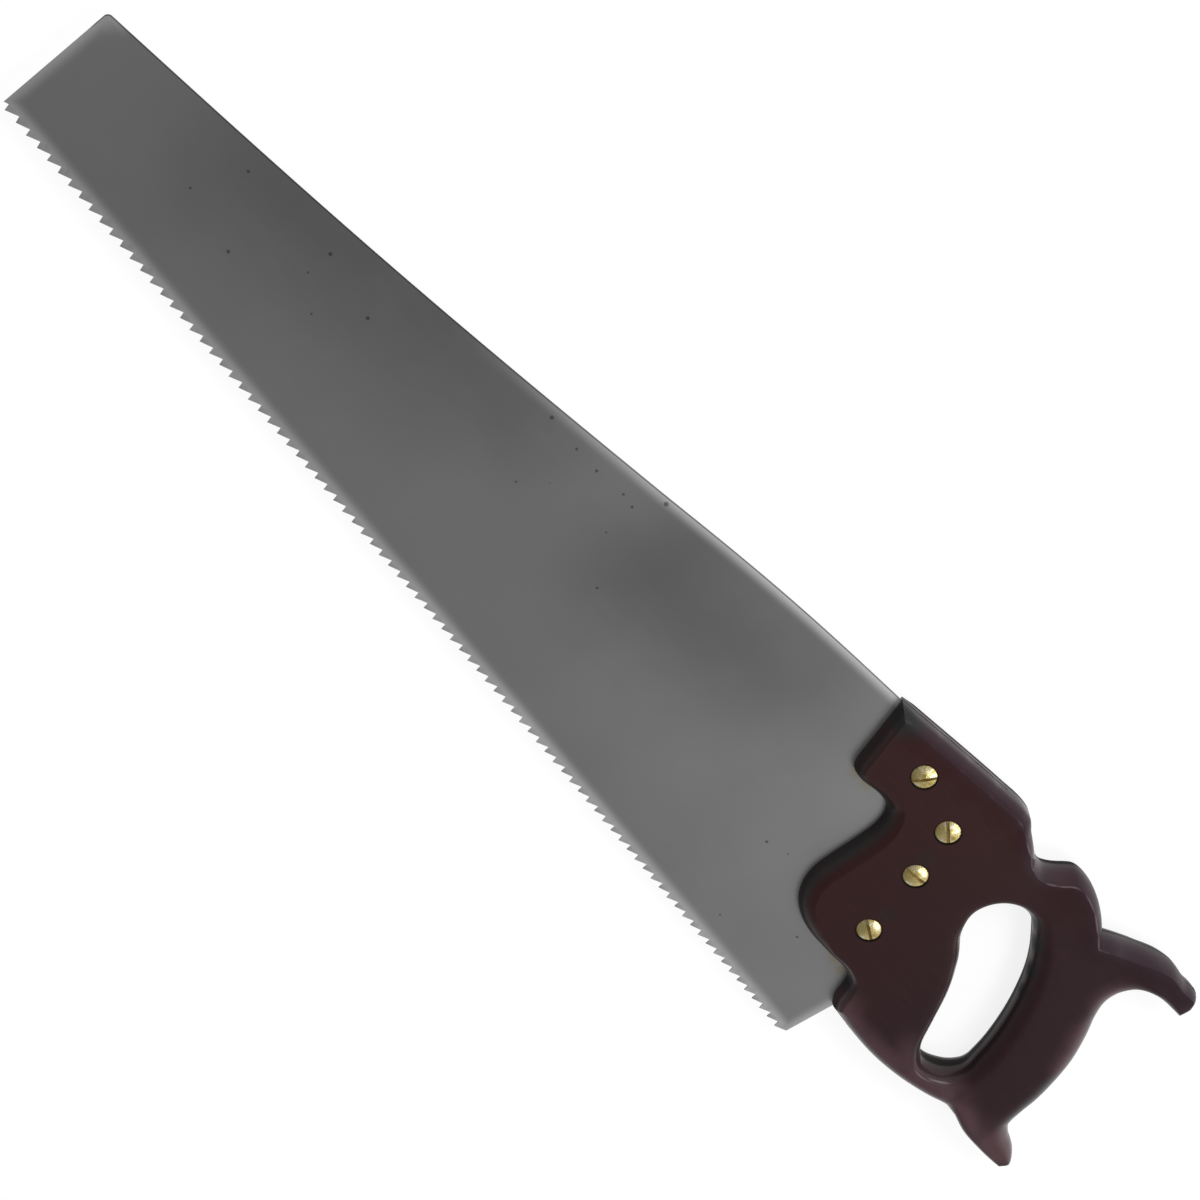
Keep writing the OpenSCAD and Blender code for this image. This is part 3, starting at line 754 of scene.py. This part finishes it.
steel = {
    "toe": (0.52, 0.52, 0.52, 1), "heel": (0.448, 0.448, 0.453, 1), "dull": (0.26, 0.26, 0.26, 1),
    "worn": (0.97, 0.97, 0.97, 1), "stain": (0.36, 0.355, 0.345, 1), "varnish": (0.42, 0.36, 0.20, 1),
    # Near black: painted shade on the narrow faces and along the back edge, and the pits
    "edge": (0.03, 0.028, 0.026, 1), "pit": (0.03, 0.028, 0.026, 1),
    "roughness": 0.40, "stainRough": 0.05, "lineRough": 0.03,
    "lineDepth": 0.004, "lineRelief": 0.2, "pitRelief": 3.0,
    "wornWidth": 7.0, "wornCurve": 1.6,
    # Zones: measured from the toe, down from the back, or from the nearest edge
    "zones": {
        "heel": [("fromToe", 120, 480)],
        "dullToe": [("fromToe", 10, 110), ("fromToe", 305, 215), ("fromBack", 90, 0, 0.0, 0.73)],
        "dullHeel": [("fromToe", 264, 330), ("fromToe", 485, 395), ("fromBack", 100, 24, 0.0, 0.84)],
        "worn": [("fromToe", 330, 559, 1.0, 0.75)],
        "unworn": [("fromBack", 30, 12), ("fromToe", 300, 180), ("fromToe", 5, 16)],
        # Painted shade on the narrow faces and in a thin line along the back edge
        "narrowShade": [("upright", 0.75, 0.3, 0.0, 0.85)],
        "backEdgeShade": [("away", 0.7, 0.15), ("fromBack", 12, 6, 0.0, 0.8)],
    },
    "layers": [
        ("dullToe", "dull", 1.0), ("dullHeel", "dull", 1.0), ("stains", "stain", 0.12),
        ("lines", "stain", 0.08), ("worn", "worn", 1.0), ("varnish", "varnish", 0.6),
        # The last layer is painted shade on the narrow faces and the back edge
        ("pits", "pit", 0.6), ("edges", "edge", 1.0),
    ],
    "varnishAt": [
        (19, -37.5, 1, 6), (26, -36.5, 1, 6.5), (88, -102, 1, 4.5), (97, -104, 1, 6), (104, -106, 1, 4.5),
    ],
    "pitsAt": [
        (-197.5, -48, 0.5, 1.3), (-180, -48, 0.3, 0.9), (-167, -47, 0.4, 1.0), (-151.6, -44, 0.3, 0.9),
        (-144.7, -44.5, 0.3, 1.0), (-137, -31.5, 0.7, 1.5), (-142, -61, 0.2, 0.7), (-184, -79, 0.2, 0.8),
        (-123.5, -80.6, 0.3, 0.9), (-355.6, -85.4, 0.3, 1.0), (-365.8, -110, 0.3, 0.8),
        (-336.4, -115, 0.5, 1.1), (-309, -80, 0.5, 1.2), (-278.7, -85, 0.5, 1.2), (-294.8, -103.6, 0.2, 0.8),
        (-309, -93, 0.2, 0.7), (25.6, -94, 0.4, 1.1), (77, -112.7, 0.3, 1.0), (46, -136.3, 0.2, 0.8),
        (36.6, -89.6, 0.1, 0.7),
    ],
}


def makeSteel():
    material, tree, shader, at = startMaterial("satinSteel")
    s = steel
    lines = useGroup(tree, fineLines, Vector=at, Stretch=(0.02, 1.0, 1.0), Scale=1.6, Contrast=0.3)
    stains = useGroup(tree, blotches, Vector=at, Scale=0.02, Share=0.42, Softness=0.2)
    small = useGroup(tree, spots, Vector=at, Scale=0.05, Size=0.03, Share=0.2)
    pits = greatest(tree, small, marksAt(tree, at, s["pitsAt"], midLevel + plate["thick"] / 2))
    # Distance below the back of the blade, taken as straight
    slope = math.atan((plate["heelWidth"] - plate["toeWidth"]) / (handleAt[0] - plate["toeLean"]))
    down = (math.sin(slope), -math.cos(slope), 0)
    backAtToe = (toeStart + [plate["toeLean"], plate["toeWidth"]]) @ down[:2]
    normal = put(tree, "ShaderNodeNewGeometry").outputs["True Normal"]
    away = attribute(tree, "edgeDistance")
    zones = zonesOf(tree, {
        "fromToe": maths(tree, "SUBTRACT", axes(tree, at)[0], toeStart[0]),
        "fromBack": maths(tree, "SUBTRACT", vectors(tree, "DOT_PRODUCT", at, down), backAtToe),
        "upright": maths(tree, "ABSOLUTE", axes(tree, normal)[2]),
        "away": away,
    }, s["zones"])
    # Edges are worn bright, but not the toe half of the back; the narrow faces and a thin line along the back
    # are painted dark as shade
    band = maths(tree, "POWER", spread(tree, away, s["wornWidth"], 0), s["wornCurve"])
    masks = {
        **zones, "stains": stains, "lines": lines, "pits": pits,
        "worn": times(tree, band, zones["worn"], oneMinus(tree, zones["unworn"])),
        "varnish": marksAt(tree, at, s["varnishAt"], midLevel),
        "edges": greatest(tree, zones["narrowShade"], zones["backEdgeShade"]),
    }
    plain = mixed(tree, zones["heel"], s["toe"], s["heel"])
    tree.links.new(layered(tree, plain, masks, s, s["layers"]), shader.inputs["Base Color"])
    shader.inputs["Metallic"].default_value = 1.0
    rough = maths(tree, "ADD", times(tree, stains, s["stainRough"]), s["roughness"])
    rough = maths(tree, "ADD", rough, times(tree, lines, s["lineRough"]))
    tree.links.new(rough, shader.inputs["Roughness"])
    height = maths(tree, "SUBTRACT", times(tree, lines, s["lineRelief"]), times(tree, pits, s["pitRelief"]))
    bump(tree, shader, height, s["lineDepth"])
    return material


wood = {
    "warm": (0.047, 0.0130, 0.0125, 1), "cool": (0.031, 0.0122, 0.0170, 1), "streak": (0.058, 0.017, 0.016, 1),
    # Near black: dirt in pores and joints, painted shade low on the edges, in the hole and along the front;
    # then the bare wood of the worn horn
    "grimeAndShade": (0.004, 0.0025, 0.002, 1), "sootAndShade": (0.024, 0.030, 0.029, 1), "bare": (0.150, 0.075, 0.085, 1),
    # Lighter edges from hand wear and painted sheen, a painted highlight for the creases, and a painted violet
    # sheen for the top edges
    "rubbedAndSheen": (0.105, 0.053, 0.062, 1), "creaseHighlight": (0.30, 0.20, 0.21, 1), "violetSheen": (0.040, 0.019, 0.030, 1),
    # Painted grey sheen at the back of the grip
    "greySheen": (0.050, 0.058, 0.054, 1),
    "layers": [
        ("grain", "streak", 0.3), ("pores", "grimeAndShade", 0.15), ("bare", "bare", 0.8), ("upper", "violetSheen", 0.8),
        ("sootAndShade", "sootAndShade", 0.8), ("rubbedAndSheen", "rubbedAndSheen", 1.0), ("creaseHighlight", "creaseHighlight", 0.5), ("greySheen", "greySheen", 0.8),
        # Dirt in the nuts' joints and painted shade under and low along the edges
        ("dirt", "grimeAndShade", 1.0),
    ],
    "wander": 14, "thickShare": 0.3,  # how far the grain wanders, how much thick varnish cools the colour
    "roughness": 0.5, "dirtRough": 0.4, "specular": 0.15, "coatRoughness": 0.22,
    "coat": 0.28, "edgeCoat": 0.65, "coatEdge": (8.0, 1.5),  # the edges are polished by hands
    "grainDepth": 0.02, "poreRelief": 0.4,
    # Strength of the dark spots, of the painted shade on the hole's sides, and how much the dark marks dull the
    # coat
    "spotSoot": 0.35, "shelterShade": 0.25, "sootMatt": 0.8,
    "topSlope": 0.19,  # rise of the top edge behind the handle's corner
    "shadeLine": (-12, -4, 1.0, -3.0),  # painted shade reaches this high, and less high at the top edge
    "bandShadeCut": 0.6,  # share of that painted shade which the painted dark band at the front takes away
    # Zones: x and y from the handle's corner, height over the top edge's line and over the line of painted
    # shade, distance from edge, crease or nut's rim, and the way that the surface faces
    "zones": {
        "cool": [("x", 30, 190, 0.0, 0.9)],
        # Painted shade on the hole's sides that face the toe
        "shadedSides": [("upright", 0.8, 0.4), ("toToe", 0.1, 0.4), ("y", -4, -12), ("x", 110, 128)],
        # A band of painted shade along the front of the cheeks, stronger further back
        "band": [("away", 5.5, 1.5), ("x", 95, 62), ("top", -6, -14)],
        "bandShade": [("x", 12, 32, 0.45, 0.9)],
        # Painted violet sheen along the top edges
        "upper": [("away", 8.0, 2.0), ("top", -40, -30), ("y", -14, -6)],
        # Lighter edges, partly hand wear and partly painted sheen
        "rubbedAndSheen": [("away", 17.0, 5.0), ("away", 0.5, 6.0, 0.35, 1.0)],
        # Painted highlights along the creases
        "creaseHighlight": [("crease", 0.55, 0.1)],
        # Painted grey sheen near the edge at the back of the grip
        "greySheen": [("away", 12.0, 3.0)],
        "joint": [("rim", 0.9, 0.2, 0.0, 0.85)],
        # Painted shade on the lower roundings, on faces turned to the teeth, and low on the steepest walls
        "under": [("facing", 0.0, -0.15), ("facing", -0.9, -0.6), ("x", 150, 125)],
        "flankShade": [("upright", 0.6, 0.35), ("toTeeth", 0.2, 0.6), ("y", -98, -104), ("x", 112, 119)],
        "lowEdgeShade": [("away", 3.0, 2.0, 0.0, 0.9)],
        "lowShade": [("height", 1.0, -1.0, 0.0, 0.8), ("upright", 0.4, 0.12)],
        "dull": [("away", 2.5, 4.5, 0.72, 0.95)],
    },
    # Patches: height above the middle of the blade, then the places
    "patches": {
        # Patches of painted shade at the corners, the horn tip and in the hand hole
        "sootAndShade": (6, [
            (6, -2, 4, 14), (15, -38, 2, 9), (108, -106, 2, 9), (241, -104, 3, 9), (128, -15, 2, 8),
            (138, -21, 2, 8), (149, -31, 2, 8), (157, -40, 1, 7), (157, -96, 3, 8),
        ]),
        "spots": (11, [(70, -35, 2, 7), (85, -66, 2, 6)]),
        "bare": (8, [(240, -104, 4, 24), (226, -99, 0, 14)]),
        # Lighter edges, partly hand wear and partly painted sheen, along the lower edge, the grip and the crest
        "rubbedAndSheen": (7, [
            (125, -122, 8, 26), (150, -120, 10, 32), (180, -112, 10, 30), (202, -105, 8, 24), (232, -96, 6, 20),
            (206, -38, 6, 20), (200, -28, 6, 22), (185, -5, 4, 18), (112, 12, 2, 9),
        ]),
        # Painted highlights along the creases of the crest and the top
        "creaseHighlight": (10, [
            (91, 6, 1, 5), (98, 1.5, 1, 5), (113, 5, 1, 4), (118, 11, 2, 7), (131, 12, 2, 7), (142, 9, 2, 8),
            (152, 5, 1, 6), (160, 3, 1, 5),
        ]),
        # Painted grey sheen at the lower back of the grip
        "greySheen": (7, [(221, -80, 1, 8), (217, -69, 3, 12), (212, -57, 3, 12)]),
        "gloss": (9, [(187, -100, 2.5, 6)]),
        "dull": (8, [
            (112, -38, 3, 10), (124, -49, 3, 10), (137, -62, 3, 10), (148, -77, 3, 10), (1, -4, 4, 10),
            (14, -1, 7, 16), (32, 2, 7, 16), (50, 5, 7, 16), (68, 9, 7, 16), (86, 9, 5, 14),
            (125, 12, 8, 26), (150, 8, 6, 20), (180, 22, 10, 30), (198, 24, 6, 16),
        ]),
    },
}


def makeWood():
    material, tree, shader, at = startMaterial("varnishedWood")
    w = wood
    # Grain runs along the handle and wanders a little
    drift = put(tree, "ShaderNodeTexNoise", {"Vector": at, "Scale": 0.02}).outputs["Color"]
    bent = vectors(tree, "MULTIPLY_ADD", drift, (w["wander"],) * 3, at)
    grain = useGroup(tree, fineLines, Vector=bent, Stretch=(0.03, 0.7, 0.7), Scale=0.5, Contrast=0.28)
    pores = useGroup(tree, fineLines, Vector=at, Stretch=(0.08, 2.4, 2.4), Scale=1.0, Contrast=0.2)
    thick = useGroup(tree, blotches, Vector=at, Scale=0.012, Share=0.5, Softness=0.25)
    # What the zones are measured by
    x, y, z = axes(tree, vectors(tree, "SUBTRACT", at, (*handleStart, midLevel)))
    normal = put(tree, "ShaderNodeNewGeometry").outputs["Normal"]
    facing = axes(tree, normal)[2]
    away = attribute(tree, "edgeDistance")
    flat = vectors(tree, "MULTIPLY", at, (1, 1, 0))
    rims = [vectors(tree, "DISTANCE", flat, (*(handleStart + spot), 0)) for spot in bolt["places"]]
    zones = zonesOf(tree, {
        "x": x, "y": y, "facing": facing, "upright": maths(tree, "ABSOLUTE", facing),
        "away": away, "crease": attribute(tree, "ridgeDistance"),
        "top": maths(tree, "SUBTRACT", y, times(tree, x, w["topSlope"])),
        "toToe": vectors(tree, "DOT_PRODUCT", normal, (-0.9, 0.4, 0)),
        "toTeeth": vectors(tree, "DOT_PRODUCT", normal, (-0.5, -0.85, 0)),
        "rim": maths(tree, "SUBTRACT", fold(tree, "MINIMUM", rims), bolt["head"] / 2),
        "height": maths(tree, "SUBTRACT", z, spread(tree, y, *w["shadeLine"])),
    }, w["zones"])
    marks = {name: marksAt(tree, at, spots, midLevel + high) for name, (high, spots) in w["patches"].items()}
    # Painted shade with some real stains: patches of painted shade at corners and in the hole, the dark spots,
    # the shaded sides of the hand hole, and a band of painted shade along the front of the cheeks
    sootAndShade = greatest(
        tree, marks["sootAndShade"], times(tree, marks["spots"], w["spotSoot"]),
        times(tree, zones["shadedSides"], w["shelterShade"]), times(tree, zones["band"], zones["bandShade"]),
    )
    # Dirt in the joint round each nut, and painted shade under the front edges and low down on the steepest
    # parts
    lowEdgeShade = times(tree, zones["lowEdgeShade"], greatest(tree, zones["under"], zones["flankShade"]))
    lowShade = times(tree, zones["lowShade"], oneMinus(tree, times(tree, zones["band"], w["bandShadeCut"])))
    dirt = greatest(tree, zones["joint"], lowEdgeShade, lowShade)
    masks = {
        "grain": grain, "pores": oneMinus(tree, pores), "bare": marks["bare"], "upper": zones["upper"],
        "sootAndShade": sootAndShade, "dirt": dirt,
        # Lighter edges with painted sheen, painted crease highlights and painted grey sheen, each where its
        # zone and patches meet
        **{name: times(tree, marks[name], zones[name]) for name in ("rubbedAndSheen", "creaseHighlight", "greySheen")},
    }
    cooler = maths(tree, "ADD", times(tree, thick, w["thickShare"]), zones["cool"])
    plain = mixed(tree, cooler, w["warm"], w["cool"])
    tree.links.new(layered(tree, plain, masks, w, w["layers"]), shader.inputs["Base Color"])
    matt = times(tree, greatest(tree, dirt, zones["shadedSides"]), w["dirtRough"])
    tree.links.new(maths(tree, "ADD", matt, w["roughness"]), shader.inputs["Roughness"])
    shader.inputs["Specular IOR Level"].default_value = w["specular"]
    shader.inputs["Coat Roughness"].default_value = w["coatRoughness"]
    polish = spread(tree, away, *w["coatEdge"], w["coat"], w["edgeCoat"])
    polish = greatest(tree, polish, marks["gloss"])
    duller = greatest(tree, dirt, times(tree, sootAndShade, w["sootMatt"]), times(tree, marks["dull"], zones["dull"]))
    tree.links.new(times(tree, oneMinus(tree, duller), polish), shader.inputs["Coat Weight"])
    bump(tree, shader, maths(tree, "ADD", times(tree, pores, w["poreRelief"]), grain), w["grainDepth"])
    return material


brasses = {
    "nutBrass": {
        "colour": (0.94, 0.74, 0.28, 1), "worn": (1.0, 0.94, 0.68, 1), "tarnish": (0.42, 0.29, 0.06, 1),
        "dirt": (0.13, 0.075, 0.012, 1), "roughness": 0.27, "tarnished": 0.45, "dentDepth": 0.14,
        "slotFloor": nutSeat + bolt["headThick"] + bolt["dome"] - bolt["slotDeep"],
        # Painted highlights and painted shade, at the same places on every nut
        "brightAt": [(-1.6, 3.4, 0.4, 2.0), (1.8, 3.6, 0.4, 1.9), (-4.4, 1.5, 0.3, 1.8), (1.5, -5.0, 0.5, 2.2)],
        "paintedShadeAt": [(-0.9, 0.9, 0.3, 1.8), (3.8, 0.5, 0.3, 1.8)],
    },
    "boltBrass": {
        "colour": (0.80, 0.60, 0.24, 1), "worn": (0.92, 0.78, 0.44, 1), "tarnish": (0.32, 0.20, 0.07, 1),
        "dirt": (0.05, 0.032, 0.014, 1), "roughness": 0.40, "tarnished": 0.5, "dentDepth": 0.06,
        "slotFloor": -100,  # far below, because a bolt has no slot
        # Painted highlight and painted shade, at the same places on every bolt
        "brightAt": [(-2, 3, 0.5, 2.5)], "paintedShadeAt": [(2, 1, 0.5, 2.5)],
    },
}
brassWork = {
    "layers": [
        ("turned", "worn", 0.35), ("tarnish", "tarnish", 0.6), ("dents", "dirt", 0.5),
        # Painted shade in the tarnish colour and a painted highlight in the worn colour, then dirt in the slot
        ("paintedShade", "tarnish", 0.6), ("bright", "worn", 0.8), ("slot", "dirt", 0.7),
    ],
    "slotDirt": (0.5, 0.02), "tarnishRough": 0.14, "turnedRelief": 0.1, "dentRelief": 0.2,
}


def makeBrass(name):
    material, tree, shader, at = startMaterial(name)
    b, work = brasses[name], brassWork
    turned = useGroup(tree, fineLines, Vector=at, Stretch=(0.35, 1.0, 1.0), Scale=2.2, Contrast=0.3)
    tarnish = useGroup(tree, blotches, Vector=at, Scale=0.4, Share=b["tarnished"], Softness=0.12)
    knocks = useGroup(tree, blotches, Vector=at, Scale=0.3, Share=0.5, Softness=0.3)
    dents = useGroup(tree, spots, Vector=at, Scale=0.9, Size=0.28, Share=0.12)
    floor = midLevel + b["slotFloor"]
    slot = spread(tree, axes(tree, at)[2], *[floor + rise for rise in work["slotDirt"]])
    masks = {"turned": turned, "tarnish": tarnish, "dents": dents, "slot": slot}
    # The same places carry painted highlights and painted shade on every one
    flat = vectors(tree, "MULTIPLY", at, (1, 1, 0))
    for label in ("paintedShade", "bright"):
        places = [
            (bx + x, by + y, near, far)
            for bx, by in bolt["places"] for x, y, near, far in b[label + "At"]
        ]
        masks[label] = marksAt(tree, flat, places, 0.0)
    tree.links.new(layered(tree, b["colour"], masks, b, work["layers"]), shader.inputs["Base Color"])
    shader.inputs["Metallic"].default_value = 1.0
    rough = maths(tree, "ADD", times(tree, tarnish, work["tarnishRough"]), b["roughness"])
    tree.links.new(rough, shader.inputs["Roughness"])
    relief = maths(
        tree, "SUBTRACT", times(tree, turned, work["turnedRelief"]), times(tree, dents, work["dentRelief"]))
    bump(tree, shader, maths(tree, "ADD", relief, knocks), b["dentDepth"])
    return material


finishes = {
    "blade_steel": makeSteel(), "varnished_wood": makeWood(),
    "nut_brass": makeBrass("nutBrass"), "bolt_brass": makeBrass("boltBrass"),
}
dressed = [(blade, "saw_plate", "blade_steel"), (handleWood, "handle", "varnished_wood")]
dressed += [(nut, f"saw_nut_{i + 1}", "nut_brass") for i, nut in enumerate(nuts)]
dressed += [(made, f"saw_bolt_{i + 1}", "bolt_brass") for i, made in enumerate(bolts)]
for piece, node, finish in dressed:
    piece.data.materials.clear()
    piece.data.materials.append(finishes[finish])
    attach(piece, "root")
    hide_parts(node)
print("materials:", len(finishes))


# floor, light and camera

studio = {
    "floorSize": 12000, "floorColour": (0.30, 0.30, 0.30, 1), "floorGlow": 0.84,
    # Brightness overhead and at the horizon, where the sky fades, and the brighter side of it
    "zenith": 0.28, "horizon": 1.0, "fade": (0.8, 0.1), "bright": (0.5, 0.7, 0), "lean": 0.7,
    # Place in metres, power and size of each lamp, all turned to the saw
    "lamps": {"key": ((0.96, 0.35, 1.36), 4.5, 0.55), "strip": ((-0.15, 1.25, 1.3), 8.0, 0.7)},
}
camera = {
    "at": (-188.5, 202.75, 676.57), "lens": 47.99, "sensor": 36.0, "clip": (0.01, 50.0),
    "right": (0.60975, 0.78513, -0.10852), "up": (-0.75715, 0.53650, -0.37268),
    "back": (-0.23438, 0.30941, 0.92159),
}


def makeFloor():
    half = studio["floorSize"] / 2
    corners = [[-half, -half, 0], [half, -half, 0], [half, half, 0], [-half, half, 0]]
    floor = meshPiece("floor", corners, [[0, 1, 2, 3]])
    material = bpy.data.materials.new("paleFloor")
    tree = emptyTree(material)
    path = put(tree, "ShaderNodeLightPath").outputs
    seen = greatest(tree, path["Is Camera Ray"], path["Is Glossy Ray"], path["Is Transmission Ray"])
    base = put(tree, "ShaderNodeBsdfDiffuse", {"Color": studio["floorColour"]})
    glow = put(tree, "ShaderNodeEmission", {"Strength": times(tree, seen, studio["floorGlow"])})
    both = put(tree, "ShaderNodeAddShader", {0: base.outputs[0], 1: glow.outputs[0]})
    put(tree, "ShaderNodeOutputMaterial", {0: both.outputs[0]})
    floor.data.materials.append(material)


def makeWorld():
    world = bpy.data.worlds.new("softSky")
    bpy.context.scene.world = world
    tree = emptyTree(world)
    way = put(tree, "ShaderNodeTexCoord").outputs["Generated"]
    side = times(tree, vectors(tree, "DOT_PRODUCT", way, studio["bright"]), studio["lean"])
    level = spread(tree, axes(tree, way)[2], *studio["fade"], studio["zenith"], studio["horizon"])
    level = times(tree, level, maths(tree, "ADD", side, 1.0))
    level = greatest(tree, level, put(tree, "ShaderNodeLightPath").outputs["Is Camera Ray"])
    sky = put(tree, "ShaderNodeBackground", {"Strength": level})
    put(tree, "ShaderNodeOutputWorld", {0: sky.outputs[0]})


def makeLamps():
    for name, (spot, power, size) in studio["lamps"].items():
        light = bpy.data.lights.new(name, "AREA")
        light.energy, light.size, light.shape = power, size, "SQUARE"
        lamp = bpy.data.objects.new(name, light)
        lamp.location = spot
        lamp.rotation_mode = "QUATERNION"
        lamp.rotation_quaternion = (-Vector(spot)).to_track_quat("-Z", "Y")
        bpy.context.scene.collection.objects.link(lamp)


def makeCamera():
    lens = bpy.data.cameras.new("photoView")
    lens.lens, lens.sensor_width, lens.sensor_fit = camera["lens"], camera["sensor"], "HORIZONTAL"
    lens.clip_start, lens.clip_end = camera["clip"]
    made = bpy.data.objects.new("photoView", lens)
    turn = Matrix((camera["right"], camera["up"], camera["back"])).transposed()
    made.matrix_world = Matrix.Translation(Vector(camera["at"]) * mm) @ turn.to_4x4()
    bpy.context.scene.collection.objects.link(made)
    bpy.context.scene.camera = made


makeFloor()
makeWorld()
makeLamps()
makeCamera()
bpy.context.scene.view_settings.view_transform = "Standard"
print("stage, light and camera are in place")
